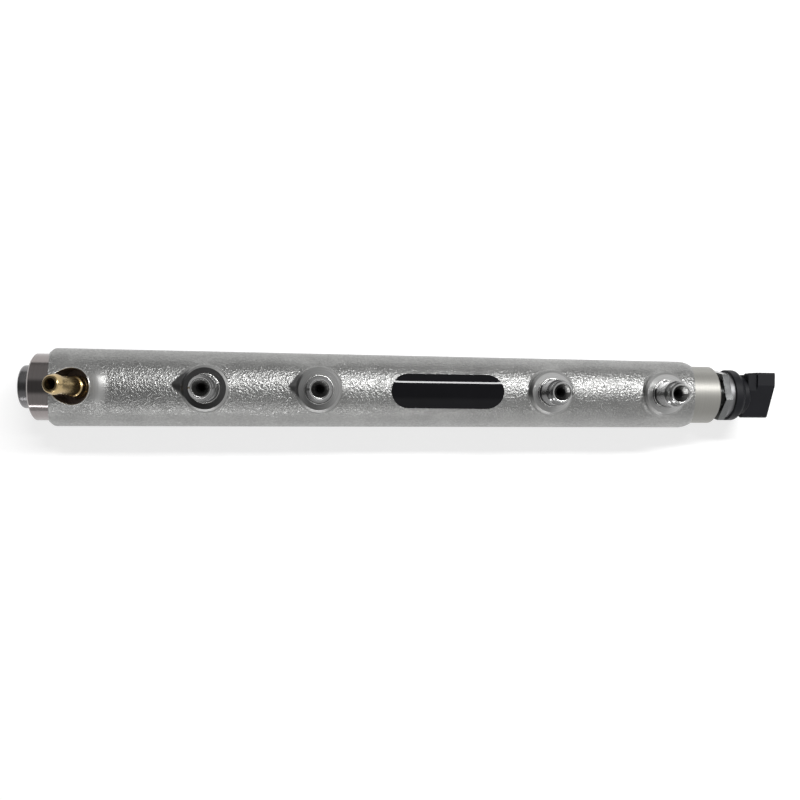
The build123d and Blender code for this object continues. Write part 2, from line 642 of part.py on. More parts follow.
# Carrier ring that holds the circuit board over the cell.
with BuildPart() as board_carrier:
    with BuildSketch(across(SPIGOT_END_X)):
        Circle(HOUSING_CAVITY_R - FIT_GAP)
        Circle(CARRIER_INNER_R, mode=Mode.SUBTRACT)
    extrude(amount=CARRIER_TALL)

with BuildPart() as circuit_board:
    with BuildSketch(across(BOARD_X)):
        Circle(BOARD_R)
    extrude(amount=BOARD_THICK)

# Sealing ring between the sensor's steel and its plastic housing.
with BuildPart() as sensor_seal:
    with BuildSketch(LENGTHWISE):
        with Locations((SENSOR_SEAL_X, HOUSING_CAVITY_R - SENSOR_SEAL_WIRE_R)):
            Circle(SENSOR_SEAL_WIRE_R - SEAT_GAP)
    revolve(axis=RAIL_AXIS)

# Plastic connector housing: round foot, neck and the turned plug block.
with BuildPart() as connector_housing:
    with BuildSketch(plug_plane(BLOCK_X)):
        RectangleRounded(BLOCK_WIDE, BLOCK_TALL, BLOCK_ROUND)
    extrude(amount=BLOCK_LONG)

    # The block's upper shoulder is squared for the latch, and lower behind the latch nose.
    with BuildSketch(across(BLOCK_X)):
        with Locations((BLOCK_FLANK - LATCH_WIDE / 2, BLOCK_CREST / 2)):
            RectangleRounded(LATCH_WIDE, BLOCK_CREST, LATCH_ROUND)
    extrude(amount=BLOCK_LONG)
    with BuildSketch(across(BLOCK_X)):
        Polygon(
            (-BLOCK_FLANK, BLOCK_CREST),
            (-BLOCK_FLANK, BLOCK_CREST - LATCH_PROUD),
            (BLOCK_FLANK - LATCH_PROUD, BLOCK_CREST - LATCH_PROUD),
            (BLOCK_FLANK - LATCH_PROUD, -BLOCK_CREST),
            (BLOCK_FLANK, -BLOCK_CREST),
            (BLOCK_FLANK, BLOCK_CREST),
            align=None,
        )
    extrude(amount=LATCH_X - BLOCK_X, mode=Mode.SUBTRACT)

    with BuildSketch(LENGTHWISE):
        with BuildLine():
            Polyline(
                (HOUSING_SHOULDER_X, HOUSING_R),
                (HEX_END_X, HOUSING_R),
                (HEX_END_X, 0),
                (BLOCK_X + BLOCK_ROOT, 0),
                (BLOCK_X + BLOCK_ROOT, HOUSING_NECK_R - BLOCK_ROOT),
                (BLOCK_X, HOUSING_NECK_R),
                (HOUSING_NECK_X, HOUSING_NECK_R),
            )
            Spline(
                (HOUSING_NECK_X, HOUSING_NECK_R),
                (HOUSING_SHOULDER_X, HOUSING_R),
                tangents=[(-1, 1), (-1, 0.15)],
            )
        make_face()
    revolve(axis=RAIL_AXIS)
    with BuildSketch(plug_plane(SOCKET_FLOOR_X)):
        RectangleRounded(
            BLOCK_WIDE - 2 * BLOCK_WALL,
            BLOCK_TALL - 2 * BLOCK_WALL,
            BLOCK_ROUND - BLOCK_WALL,
        )
    extrude(amount=BLOCK_END_X - SOCKET_FLOOR_X, mode=Mode.SUBTRACT)
    with BuildSketch(across(HEX_END_X)):
        Circle(HOUSING_CAVITY_R)
    extrude(amount=HOUSING_CAVITY_X - HEX_END_X, mode=Mode.SUBTRACT)
    with BuildSketch(plug_plane(HOUSING_CAVITY_X)):
        with GridLocations(TERMINAL_PITCH, 0, 3, 1):
            Rectangle(TERMINAL_WIDE + 2 * FIT_GAP, TERMINAL_THICK + 2 * FIT_GAP)
    extrude(amount=SOCKET_FLOOR_X - HOUSING_CAVITY_X, mode=Mode.SUBTRACT)


def blade(offset):
    """Flat terminal from the circuit board into the socket, moved across by offset."""
    with BuildPart() as terminal:
        with BuildSketch(plug_plane(BOARD_END_X)):
            with Locations((offset, 0)):
                Rectangle(TERMINAL_WIDE, TERMINAL_THICK)
        extrude(amount=TERMINAL_END_X - BOARD_END_X)
        tip = terminal.faces().sort_by(Axis.X)[-1]
        chamfer(tip.edges(), length=TERMINAL_POINT)
    return terminal


terminal_supply = blade(-TERMINAL_PITCH)
terminal_signal = blade(0)
terminal_ground = blade(TERMINAL_PITCH)

os.makedirs("parts", exist_ok=True)
rail_body.part.label = "rail_body"
export_step(rail_body.part, "parts/rail_body.step")
type_label.part.label = "type_label"
export_step(type_label.part, "parts/type_label.step")
return_nipple.part.label = "return_nipple"
export_step(return_nipple.part, "parts/return_nipple.step")
valve_body.part.label = "valve_body"
export_step(valve_body.part, "parts/valve_body.step")
valve_seat.part.label = "valve_seat"
export_step(valve_seat.part, "parts/valve_seat.step")
valve_piston.part.label = "valve_piston"
export_step(valve_piston.part, "parts/valve_piston.step")
lift_stop.part.label = "lift_stop"
export_step(lift_stop.part, "parts/lift_stop.step")
valve_shim.part.label = "valve_shim"
export_step(valve_shim.part, "parts/valve_shim.step")
valve_spring.part.label = "valve_spring"
export_step(valve_spring.part, "parts/valve_spring.step")
valve_o_ring.part.label = "valve_o_ring"
export_step(valve_o_ring.part, "parts/valve_o_ring.step")
sensor_body.part.label = "sensor_body"
export_step(sensor_body.part, "parts/sensor_body.step")
measuring_cell.part.label = "measuring_cell"
export_step(measuring_cell.part, "parts/measuring_cell.step")
board_carrier.part.label = "board_carrier"
export_step(board_carrier.part, "parts/board_carrier.step")
circuit_board.part.label = "circuit_board"
export_step(circuit_board.part, "parts/circuit_board.step")
sensor_seal.part.label = "sensor_seal"
export_step(sensor_seal.part, "parts/sensor_seal.step")
connector_housing.part.label = "connector_housing"
export_step(connector_housing.part, "parts/connector_housing.step")
terminal_supply.part.label = "terminal_supply"
export_step(terminal_supply.part, "parts/terminal_supply.step")
terminal_signal.part.label = "terminal_signal"
export_step(terminal_signal.part, "parts/terminal_signal.step")
terminal_ground.part.label = "terminal_ground"
export_step(terminal_ground.part, "parts/terminal_ground.step")
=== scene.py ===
# %% [markdown]
# # Dressing a fuel rail
# The solids of the rail come packed in one frame, in metres, with x along the rail, z the way the
# stubs point and the mounting pads on z = 0. This lesson keeps the solids where they are and gives
# them their finish: a blasted forging, turned steel, brass, moulded plastic and a gloss label. It
# adds what is too fine for the solids, such as threads and rims, and makes two pieces anew: the
# sensor's head, and the valve's spring, which has to get shorter.

# %% Load the frame
import math
import bmesh
import bpy
import numpy as np
from mathutils import Matrix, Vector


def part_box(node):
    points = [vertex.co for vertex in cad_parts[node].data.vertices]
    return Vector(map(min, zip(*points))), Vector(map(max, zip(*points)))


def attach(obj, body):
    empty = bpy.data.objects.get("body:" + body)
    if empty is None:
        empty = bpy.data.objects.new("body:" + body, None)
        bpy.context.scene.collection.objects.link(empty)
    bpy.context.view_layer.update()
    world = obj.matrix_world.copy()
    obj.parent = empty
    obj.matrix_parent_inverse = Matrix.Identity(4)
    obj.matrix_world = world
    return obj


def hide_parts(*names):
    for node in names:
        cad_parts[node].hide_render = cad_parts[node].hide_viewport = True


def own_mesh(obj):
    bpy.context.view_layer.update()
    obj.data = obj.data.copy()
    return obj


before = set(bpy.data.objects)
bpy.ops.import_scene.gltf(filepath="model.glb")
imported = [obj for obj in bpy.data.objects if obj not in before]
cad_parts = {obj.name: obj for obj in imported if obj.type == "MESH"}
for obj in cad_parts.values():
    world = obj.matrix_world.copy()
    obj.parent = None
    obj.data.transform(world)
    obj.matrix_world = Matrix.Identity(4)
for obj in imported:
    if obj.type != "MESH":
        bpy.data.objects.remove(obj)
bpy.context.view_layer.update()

MM = 0.001
AXIS_Z = 24.0

# %% [markdown]
# ## Camera
# The rail is seen from above, from less than half a metre away, so the stubs lean outwards from a
# point between the first two. A long lens from far away would show them upright. A lens as long as
# the film is wide gives this strong perspective. The camera's place follows from how far each stub
# leans, and a small roll lets the rail's right end drop.

# %% Camera above the rail
EYE = (-40.0, -4.95, 471.0)
EYE_TILT = -6.56
EYE_ROLL = 0.62
FILM_WIDE = 36.0
NEAR_LIMIT = 0.01
eye = bpy.data.cameras.new("eye")
eye.lens = FILM_WIDE
eye.sensor_width = FILM_WIDE
eye.clip_start = NEAR_LIMIT
eye_object = bpy.data.objects.new("eye", eye)
bpy.context.scene.collection.objects.link(eye_object)
eye_tilt = Matrix.Rotation(math.radians(EYE_TILT), 4, "Y")
eye_roll = Matrix.Rotation(math.radians(EYE_ROLL), 4, "Z")
eye_object.matrix_world = Matrix.Translation([v * MM for v in EYE]) @ eye_tilt @ eye_roll
bpy.context.scene.camera = eye_object
bpy.context.scene.view_settings.view_transform = "Standard"
print("camera height above the rail's axis in mm:", EYE[2] - AXIS_Z)

# %% [markdown]
# ## Helpers for node trees
# Every finish below is a tree of shader nodes. It could be joined by hand in the node editor, but a
# few small helpers do it in code and keep the cells short. They place a node and feed its inputs, do
# arithmetic, and turn a value into a soft mask between two limits. A number stays a plain number on
# its socket, and only what changes over a surface is a link.

# %% Nodes and arithmetic
def feed(tree, socket, value):
    """Links the value if it is another node's socket, and otherwise writes it on the input."""
    if isinstance(value, bpy.types.NodeSocket):
        tree.links.new(value, socket)
    else:
        socket.default_value = value


def place(tree, kind, inputs=(), **settings):
    """One node of a kind, with its settings and (input, value) pairs."""
    node = tree.nodes.new(kind)
    for name, value in settings.items():
        setattr(node, name, value)
    for name, value in inputs:
        feed(tree, node.inputs[name], value)
    return node


def reckon(tree, how, *values):
    """The result of one arithmetic step on up to three values."""
    node = place(tree, "ShaderNodeMath", operation=how)
    for socket, value in zip(node.inputs, values):
        feed(tree, socket, value)
    return node.outputs[0]


def chain(tree, how, first, *rest):
    """One arithmetic step carried through a row of values."""
    for value in rest:
        first = reckon(tree, how, first, value)
    return first


def length_of(tree, a, b):
    """Length of the hypotenuse over two sides."""
    return reckon(tree, "SQRT", reckon(tree, "MULTIPLY_ADD", a, a, reckon(tree, "MULTIPLY", b, b)))


print("helpers: feed, place, reckon, chain, length_of")

# %% Masks and mixtures
MIX_INPUT = {"RGBA": 6, "FLOAT": 2}
MIX_RESULT = {"RGBA": 2, "FLOAT": 0}


def between(tree, value, start, end):
    """Soft mask: 0 up to start, 1 from end on, smooth in the middle; start may be the larger one."""
    node = place(tree, "ShaderNodeMapRange", interpolation_type="SMOOTHSTEP")
    for socket, number in zip(node.inputs, (value, start, end)):
        feed(tree, socket, number)
    return node.outputs[0]


def inside(tree, value, limit, soft):
    """Mask of what is below a limit, which fades out over a soft width beyond it."""
    return between(tree, value, limit + soft, limit)


def above(tree, value, limit, soft):
    """Mask of what is over a limit, which fades out over a soft width below it."""
    return between(tree, value, limit - soft, limit)


def both(tree, *masks):
    """Product of masks: 1 only where all of them are 1."""
    return chain(tree, "MULTIPLY", *masks)


def any_of(tree, *masks):
    """Largest of the masks: 1 where at least one of them is 1."""
    return chain(tree, "MAXIMUM", *masks)


def blend(tree, mask, a, b, kind="RGBA"):
    """a where the mask is 0 and b where it is 1, for colours or for single values."""
    node = place(tree, "ShaderNodeMix", data_type=kind)
    first = MIX_INPUT[kind]
    for index, value in ((0, mask), (first, a), (first + 1, b)):
        feed(tree, node.inputs[index], value)
    return node.outputs[MIX_RESULT[kind]]


print("helpers: between, inside, above, both, any_of, blend")

# %% [markdown]
# ## Shared effects
# Blasting, turning and moulding each leave a mark that several pieces share. Each material could
# have its own copy of it, but as a node group it is built once and always looks alike. All groups
# read a position in millimetres. They give out only heights, in millimetres, and tones around 1, and
# the material decides how strongly to use them.

# %% Start a group
VECTOR, VALUE = "NodeSocketVector", "NodeSocketFloat"


def open_group(name, inputs, outputs):
    """An empty shader group with the named sockets, and its two end nodes."""
    tree = bpy.data.node_groups.new(name, "ShaderNodeTree")
    for label, kind in inputs:
        tree.interface.new_socket(label, in_out="INPUT", socket_type=kind)
    for label, kind in outputs:
        tree.interface.new_socket(label, in_out="OUTPUT", socket_type=kind)
    print("group:", name)
    return tree, tree.nodes.new("NodeGroupInput").outputs, tree.nodes.new("NodeGroupOutput").inputs


def noise(tree, spot, per_mm, detail, roughness, distortion=0.0):
    """Cloudy values around a half at a position, with about so many clouds to the millimetre."""
    inputs = [("Vector", spot), ("Scale", per_mm), ("Detail", detail), ("Roughness", roughness)]
    return place(tree, "ShaderNodeTexNoise", inputs + [("Distortion", distortion)]).outputs["Fac"]


print("helpers: open_group, noise")

# %% Blasted forging grain
WRINKLES_PER_MM = 0.78
DIMPLES_PER_MM = 1.0
DIMPLE_SMOOTH = 0.6
DIMPLE_SHARE = 0.45
CLOUDS_PER_MM = 0.05
CLOUD_SWING, CLOUD_LOW = 0.5, 0.71
SPECK_FROM, SPECK_FULL = 0.40, 0.62
SPECK_TONE = 0.08

forged_grain, given, result = open_group(
    "forged_grain", [("Place", VECTOR)], [("Height", VALUE), ("Tone", VALUE), ("Speck", VALUE)]
)
wrinkle = noise(forged_grain, given["Place"], WRINKLES_PER_MM, detail=2.0, roughness=0.55, distortion=0.9)
cloud = noise(forged_grain, given["Place"], CLOUDS_PER_MM, detail=3.0, roughness=0.6)
dimple = place(
    forged_grain, "ShaderNodeTexVoronoi",
    [("Vector", given["Place"]), ("Scale", DIMPLES_PER_MM), ("Smoothness", DIMPLE_SMOOTH)],
    feature="SMOOTH_F1",
)
pitted = reckon(forged_grain, "MULTIPLY", dimple.outputs["Distance"], DIMPLE_SHARE)
speck = between(forged_grain, wrinkle, SPECK_FROM, SPECK_FULL)
cloudy = reckon(forged_grain, "MULTIPLY_ADD", cloud, CLOUD_SWING, CLOUD_LOW)
feed(forged_grain, result["Height"], reckon(forged_grain, "ADD", wrinkle, pitted))
feed(forged_grain, result["Tone"], reckon(forged_grain, "MULTIPLY_ADD", speck, SPECK_TONE, cloudy))
feed(forged_grain, result["Speck"], speck)

# %% Turning marks
RING_SWING, RING_LOW = 0.5, 0.75

turned_rings, given, result = open_group(
    "turned_rings", [("Along", VALUE), ("Fineness", VALUE)], [("Height", VALUE), ("Tone", VALUE)]
)
ring_place = reckon(turned_rings, "MULTIPLY", given["Along"], given["Fineness"])
ring = place(
    turned_rings, "ShaderNodeTexNoise",
    [("W", ring_place), ("Scale", 1.0), ("Detail", 4.0), ("Roughness", 0.65)], noise_dimensions="1D",
).outputs["Fac"]
feed(turned_rings, result["Height"], ring)
feed(turned_rings, result["Tone"], reckon(turned_rings, "MULTIPLY_ADD", ring, RING_SWING, RING_LOW))

# %% Moulded grain
BROAD_PER_MM = 0.12
BROAD_SWING, BROAD_LOW = 0.7, 0.65

moulded_grain, given, result = open_group(
    "moulded_grain", [("Place", VECTOR), ("Fineness", VALUE)], [("Height", VALUE), ("Tone", VALUE)]
)
fine = noise(moulded_grain, given["Place"], given["Fineness"], detail=2.0, roughness=0.5)
broad = noise(moulded_grain, given["Place"], BROAD_PER_MM, detail=3.0, roughness=0.6)
feed(moulded_grain, result["Height"], fine)
feed(moulded_grain, result["Tone"], reckon(moulded_grain, "MULTIPLY_ADD", broad, BROAD_SWING, BROAD_LOW))

# %% [markdown]
# ## Starting a finish
# Every material starts in the same way, with one shader and the position on the surface in
# millimetres. Unwrapping each solid would give coordinates too, but the position needs no unwrapping,
# and the sizes in a finish are then the sizes on a drawing.

# %% Start a finish
def toned(tree, colour, tone):
    """A colour, brightened and darkened by a tone around 1, or a position times a scale."""
    return place(tree, "ShaderNodeVectorMath", [(0, colour), ("Scale", tone)], operation="SCALE").outputs[0]


def open_finish(name):
    """A new material, its shader and the surface's position in millimetres, whole and split."""
    finish = bpy.data.materials.new(name)
    finish.use_nodes = True
    tree = finish.node_tree
    shader = tree.nodes["Principled BSDF"]
    spot = toned(tree, place(tree, "ShaderNodeTexCoord").outputs["Object"], 1.0 / MM)
    split = place(tree, "ShaderNodeSeparateXYZ", [(0, spot)]).outputs
    print("finish:", name)
    return finish, tree, shader, spot, split


def group(tree, shared, **inputs):
    """Places a shared effect in a material with its own values and gives its outputs."""
    return place(tree, "ShaderNodeGroup", inputs.items(), node_tree=shared).outputs


def raise_surface(tree, shader, height):
    """Bump from a height in millimetres."""
    bump = place(tree, "ShaderNodeBump", [("Height", height), ("Distance", MM), ("Strength", 1.0)])
    tree.links.new(bump.outputs[0], shader.inputs["Normal"])


def away_from_axis(tree, split):
    """Distance from the rail's axis in millimetres."""
    return length_of(tree, split["Y"], reckon(tree, "SUBTRACT", split["Z"], AXIS_Z))


print("helpers: toned, open_finish, group, raise_surface, away_from_axis")

# %% [markdown]
# ## The rail
# The forging and its machined faces are one piece of steel, so they are one solid and one material.
# Where the surface was machined, the finish changes. Each face could be given a material of its own,
# but masks worked out from the position have soft borders: they find the stubs, the spot faces and
# their rims, the two necks, the nipple's pocket and the pads. The forging keeps its blasted grain,
# which sparkles only where a lamp is mirrored, and the rest gets turning marks.

# %% Regions round the outlets
PORTS = (-93.5, -34.2, 92.6, 157.9)
SPOT_Z = 46.2
SPOT_R = 10.9
BOSS_R = 12.0
COLLAR_R = 7.8
RIM_DEEP = 0.9
HAIR = 0.1

forged_rail, tree, shader, spot, split = open_finish("forged_rail")
x, y, z = split["X"], split["Y"], split["Z"]
beside = chain(
    tree, "MINIMUM", *[reckon(tree, "ABSOLUTE", reckon(tree, "SUBTRACT", x, port)) for port in PORTS]
)
from_port = length_of(tree, beside, y)
on_stub = both(
    tree, inside(tree, from_port, COLLAR_R, soft=0.3), above(tree, z, SPOT_Z, soft=0.3)
)
on_spot = both(
    tree, inside(tree, from_port, SPOT_R, soft=0.15), above(tree, z, SPOT_Z - 2 * HAIR, soft=0.2)
)
on_rim = both(
    tree, inside(tree, from_port, BOSS_R + HAIR, soft=0.3), above(tree, z, SPOT_Z - RIM_DEEP, soft=0.4)
)
print("regions: stubs, spot faces and their rims, at x =", PORTS)

# %% [markdown]
# The dies left a ramp on both sides of every boss: it runs from a point on the ridge to the boss,
# along the two lines that touch the boss's circle, and it gets shorter towards the right. The left
# one is smooth, and its dark colour is painted shade; the right one is as rough as the forging. The
# left ramp's reach is the distance to those lines, measured along the rail. It fades the grain out
# and, used as a height, tilts the ramp away from the boss.

# %% Ramps beside the bosses
RAMP_POINT = 16.4
RAMP_SHORTER = 0.0205
RAMP_SLOPE = 0.14
RAMP_BEHIND = 2.0
RAMP_ROOF = 0.45
RAMP_ROUND = 1.2
RAMP_ROOM = 20.0
RAMP_Z = 40.0

point = reckon(tree, "MULTIPLY_ADD", x, -RAMP_SHORTER, RAMP_POINT)
point_square = reckon(tree, "MULTIPLY", point, point)
tangent = reckon(tree, "SQRT", reckon(tree, "SUBTRACT", point_square, BOSS_R**2))
touch = reckon(tree, "DIVIDE", tangent, BOSS_R)
aside = length_of(tree, reckon(tree, "SUBTRACT", y, RAMP_BEHIND), RAMP_ROUND)
across = reckon(tree, "MULTIPLY", aside, touch)
tip = reckon(tree, "SUBTRACT", point, beside)
reach = reckon(tree, "SUBTRACT", tip, across)
past_touch = reckon(tree, "SUBTRACT", beside, reckon(tree, "DIVIDE", BOSS_R**2, point))
left_sides = [
    both(tree, above(tree, x, port - RAMP_ROOM, soft=1.0), inside(tree, x, port - 2 * HAIR, soft=0.4))
    for port in PORTS
]
ahead = both(tree, above(tree, past_touch, 2.0, soft=2.5), above(tree, z, RAMP_Z, soft=4.0))
on_ramp = both(tree, above(tree, reach, 1.0, soft=1.8), ahead, any_of(tree, *left_sides))
roof = reckon(tree, "MAXIMUM", reckon(tree, "MULTIPLY_ADD", across, -RAMP_ROOF, tip), 0.0)
ramp_rise = both(tree, reckon(tree, "MULTIPLY", roof, RAMP_SLOPE), on_ramp)
print("ramp points from each port in mm:", [round(RAMP_POINT - RAMP_SHORTER * port, 1) for port in PORTS])

# %% [markdown]
# The necks at both ends were turned, and the nipple's pocket was milled at a slant. A round face is
# all at one distance from its axis, so the distances from the rail's axis and from the pocket's
# tilted one find these faces. Right of the pocket the forging swells into a low, smooth bank.

# %% Distance from the pocket's axis
POCKET_X = -158.9
POCKET_Z = 36.0
POCKET_R = 9.65
POCKET_TILT = math.radians(17.5)
POCKET_LEAN = math.radians(2.6)
TILT_COS, TILT_SIN = math.cos(POCKET_TILT), math.sin(POCKET_TILT)
LEAN_COS, LEAN_SIN = math.cos(POCKET_LEAN), math.sin(POCKET_LEAN)


def about_pocket(tree, split):
    """Distance from the pocket's axis, which tilts to the left and leans back, and height along it."""
    dx = reckon(tree, "SUBTRACT", split["X"], POCKET_X)
    dz = reckon(tree, "SUBTRACT", split["Z"], POCKET_Z)
    out = reckon(tree, "MULTIPLY_ADD", dx, TILT_COS, reckon(tree, "MULTIPLY", dz, TILT_SIN))
    up = reckon(tree, "MULTIPLY_ADD", dz, TILT_COS, reckon(tree, "MULTIPLY", dx, -TILT_SIN))
    side = reckon(tree, "MULTIPLY", split["Y"], LEAN_COS)
    side = reckon(tree, "MULTIPLY_ADD", up, -LEAN_SIN, side)
    return length_of(tree, out, side), up


from_axis = away_from_axis(tree, split)
from_pocket, _ = about_pocket(tree, split)
print("pocket at x =", POCKET_X, "with radius", POCKET_R)

# %% Regions at the ends
NECK_LEFT_X, NECK_LEFT_R = -172.0, 17.95
NECK_RIGHT_X, NECK_RIGHT_R = 176.0, 16.5
PAD_HIGH = 0.2
POCKET_FLOOR_Z = 32.0
BANK_X = POCKET_X + 11.0
BANK_Z = 34.0
BANK_HALF = 5.0
BANK_REACH = 14.0
BANK_RISE_REACH = 13.5
BANK_RISE = 1.1

on_left = both(
    tree, inside(tree, x, NECK_LEFT_X, soft=1.0), inside(tree, from_axis, NECK_LEFT_R + HAIR, soft=0.15)
)
on_right = both(
    tree, above(tree, x, NECK_RIGHT_X, soft=1.0), inside(tree, from_axis, NECK_RIGHT_R + HAIR, soft=0.15)
)
on_pad = inside(tree, z, PAD_HIGH, soft=0.3)
in_pocket = both(
    tree, inside(tree, from_pocket, POCKET_R + HAIR / 2, soft=0.1), above(tree, z, POCKET_FLOOR_Z, soft=2.0)
)
off_ridge = reckon(tree, "ABSOLUTE", y)
right_of_pocket = both(tree, above(tree, x, BANK_X, soft=8.0), above(tree, z, BANK_Z, soft=4.0))
right_of_pocket = both(tree, right_of_pocket, inside(tree, off_ridge, BANK_HALF, soft=7.0))
on_bank = both(tree, inside(tree, from_pocket, BANK_REACH, soft=7.0), right_of_pocket)
bank_rise = reckon(tree, "MULTIPLY", inside(tree, from_pocket, BANK_RISE_REACH, soft=5.5), BANK_RISE)
bank_rise = both(tree, bank_rise, right_of_pocket)
print("regions: two necks, pads, pocket and the smooth bank beside it")

# %% [markdown]
# The stubs end in a rounded lip round the sealing cone. It is under a millimetre and a half wide, so
# the solid has it flat, and a height that falls off to both sides of its middle rounds it here.

# %% Ends of the stubs
TIP_Z = 63.8
SEAT_R = 4.5
BORE_R = 2.6
LIP_R = 4.95
LIP_HALF = 0.45
LIP_DROP = 0.06
SEAT_DEEP_Z = SPOT_Z + 6.0

on_tip = above(tree, z, TIP_Z - HAIR, soft=0.2)
on_lip = both(tree, on_tip, inside(tree, from_port, LIP_R + LIP_HALF - HAIR, soft=0.2))
in_stub = above(tree, z, SEAT_DEEP_Z, soft=2.0)
in_seat = both(tree, in_stub, inside(tree, from_port, SEAT_R, soft=0.1))
bore_painted_shade = both(tree, in_stub, inside(tree, from_port, BORE_R - 3 * HAIR, soft=0.8))
lip = reckon(tree, "DIVIDE", reckon(tree, "SUBTRACT", from_port, LIP_R), LIP_HALF)
lip_rise = reckon(tree, "MULTIPLY", reckon(tree, "MULTIPLY", lip, lip), -LIP_DROP)
lip_rise = both(tree, lip_rise, on_lip)
print("lip in mm:", 2 * LIP_HALF, "wide, rounded by", LIP_DROP)

# %% [markdown]
# Colour and gloss start from the forging's and change region by region, in a table whose later rows
# lie over the earlier ones. The left ramps and the spot faces get painted shade set by x alone: the
# first outlet's are the darkest, and they get paler towards the second, where the spot faces turn pale.

# %% Colour and gloss of the rail
FORGED_SHADE = (0.305, 0.305, 0.3)
GRAIN_ROUGH, SPECK_ROUGH = 0.43, 0.28
RINGS_PER_MM = 2.2
DARK_UP_TO_X, PALE_FROM_X = -75.0, -15.0

grain = group(tree, forged_grain, Place=spot)
on_neck = any_of(tree, on_left, on_right)
around_stub = reckon(tree, "ADD", from_port, z)
around_neck = reckon(tree, "ADD", from_axis, x)
ring_along = blend(tree, on_neck, around_stub, around_neck, "FLOAT")
rings = group(tree, turned_rings, Along=ring_along, Fineness=RINGS_PER_MM)
# Painted shade and light by x: dark left ramps and spot faces at the first outlet, pale spot faces from the
# second on.
painted_paler = between(tree, x, DARK_UP_TO_X, PALE_FROM_X)
ramp_painted_shade = blend(tree, painted_paler, (0.12, 0.12, 0.12, 1.0), (0.2, 0.2, 0.2, 1.0))
spot_painted_shade = blend(tree, painted_paler, (0.11, 0.11, 0.11, 1.0), (0.5, 0.5, 0.495, 1.0))
colour = toned(tree, FORGED_SHADE, grain["Tone"])
gloss = blend(tree, grain["Speck"], GRAIN_ROUGH, SPECK_ROUGH, "FLOAT")
for mask, shade, rough in (
    (on_bank, (0.36, 0.36, 0.355), 0.46),
    (on_rim, (0.37, 0.37, 0.365), 0.4),
    (on_ramp, ramp_painted_shade, 0.3),
    (on_spot, spot_painted_shade, 0.3),
    (on_stub, (0.3, 0.3, 0.3), 0.13),
    (on_lip, (0.55, 0.55, 0.545), 0.16),
    (in_seat, (0.38, 0.38, 0.375), 0.28),
    # Painted shade: the bore is coloured near black, as the shade down it.
    (bore_painted_shade, (0.03, 0.03, 0.03), 0.5),
    (on_left, (0.29, 0.265, 0.26), 0.12),
    (on_right, (0.3, 0.295, 0.275), 0.44),
    (on_pad, (0.42, 0.42, 0.42), 0.3),
    # Painted shade: the milled pocket is coloured dark brown, as the shade in that hollow.
    (in_pocket, (0.2, 0.165, 0.145), 0.45),
):
    colour = blend(tree, mask, colour, toned(tree, shade, rings["Tone"]))
    gloss = blend(tree, mask, gloss, rough, "FLOAT")
feed(tree, shader.inputs["Base Color"], colour)
feed(tree, shader.inputs["Roughness"], gloss)
print("nodes in the rail's finish so far:", len(tree.nodes))

# %% [markdown]
# The relief is a height too. The grain is deepest on the ridge, fades out on the ramps and the bank,
# and gives way to turning marks where the rail was machined.

# %% Relief of the rail
RIDGE_HALF, FLANK_FROM = 7.0, 13.0
RIDGE_GRAIN, FLANK_GRAIN = 0.42, 0.26
RING_DEPTH = 0.012
FORGED_METAL, TURNED_METAL, DULL_METAL = 0.96, 1.0, 0.65

machined = any_of(tree, on_rim, on_spot, on_stub, on_neck, on_pad, in_pocket)
smooth = any_of(tree, on_ramp, on_bank)
on_flank = between(tree, off_ridge, RIDGE_HALF, FLANK_FROM)
grain_deep = blend(tree, on_flank, RIDGE_GRAIN, FLANK_GRAIN, "FLOAT")
grain_rise = blend(tree, smooth, reckon(tree, "MULTIPLY", grain["Height"], grain_deep), 0.0, "FLOAT")
forged = chain(tree, "ADD", grain_rise, bank_rise, ramp_rise)
turned = reckon(tree, "MULTIPLY_ADD", rings["Height"], RING_DEPTH, lip_rise)
raise_surface(tree, shader, blend(tree, machined, forged, turned, "FLOAT"))
metal = blend(tree, machined, FORGED_METAL, TURNED_METAL, "FLOAT")
metal = blend(tree, any_of(tree, on_right, on_bank), metal, DULL_METAL, "FLOAT")
feed(tree, shader.inputs["Metallic"], metal)
print("nodes in the rail's finish:", len(tree.nodes))

# %% [markdown]
# ## Turned steel, dark steel and brass
# These pieces were turned about an axis, so their marks are rings. An image of rings would have to be
# wrapped round each piece. Here the ring's place is the distance along the axis plus the distance
# from it: on a cylinder only the first changes, on an end face only the second, and both get rings
# with one formula.

# %% Turned finishes
MOTTLE_PER_MM = 1.5
FINE_DEPTH = 0.004


def turned_finish(name, shade, rough, fineness=2.0, depth=RING_DEPTH, in_pocket=False):
    """Metal turned about the rail's axis, or about the pocket's axis."""
    finish, tree, shader, spot, split = open_finish(name)
    if in_pocket:
        along = reckon(tree, "ADD", *about_pocket(tree, split))
    else:
        along = reckon(tree, "ADD", split["X"], away_from_axis(tree, split))
    rings = group(tree, turned_rings, Along=along, Fineness=fineness)
    mottle = group(tree, moulded_grain, Place=spot, Fineness=MOTTLE_PER_MM)
    tone = reckon(tree, "MULTIPLY", rings["Tone"], mottle["Tone"])
    feed(tree, shader.inputs["Base Color"], toned(tree, shade, tone))
    feed(tree, shader.inputs["Roughness"], reckon(tree, "MULTIPLY", mottle["Tone"], rough))
    shader.inputs["Metallic"].default_value = 1.0
    raise_surface(tree, shader, reckon(tree, "MULTIPLY", rings["Height"], depth))
    return finish


